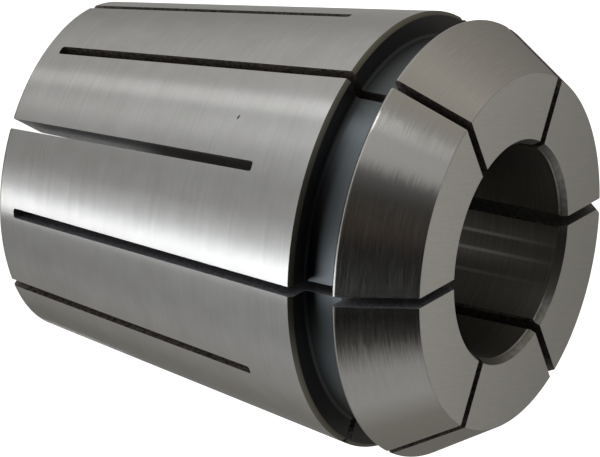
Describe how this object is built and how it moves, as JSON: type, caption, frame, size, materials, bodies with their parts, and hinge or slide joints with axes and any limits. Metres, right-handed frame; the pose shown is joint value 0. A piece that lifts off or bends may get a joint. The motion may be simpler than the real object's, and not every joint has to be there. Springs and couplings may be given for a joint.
{
  "type": "spring collet",
  "caption": "Slotted steel sleeve with a ground taper, nut groove and conical nose that closes evenly on a round tool shank.",
  "frame": {"origin": "on the axis, in the plane of the small back end that the collet stands on", "axes": "+Z along the axis from the small end to the nose, +X through the middle of a finger between two slots"},
  "size_m": [0.0408, 0.0408, 0.046],
  "materials": {
    "ground_steel": "satin ground"
  },
  "bodies": {
    "root": {"collet": "ground_steel"}
  },
  "joints": []
}
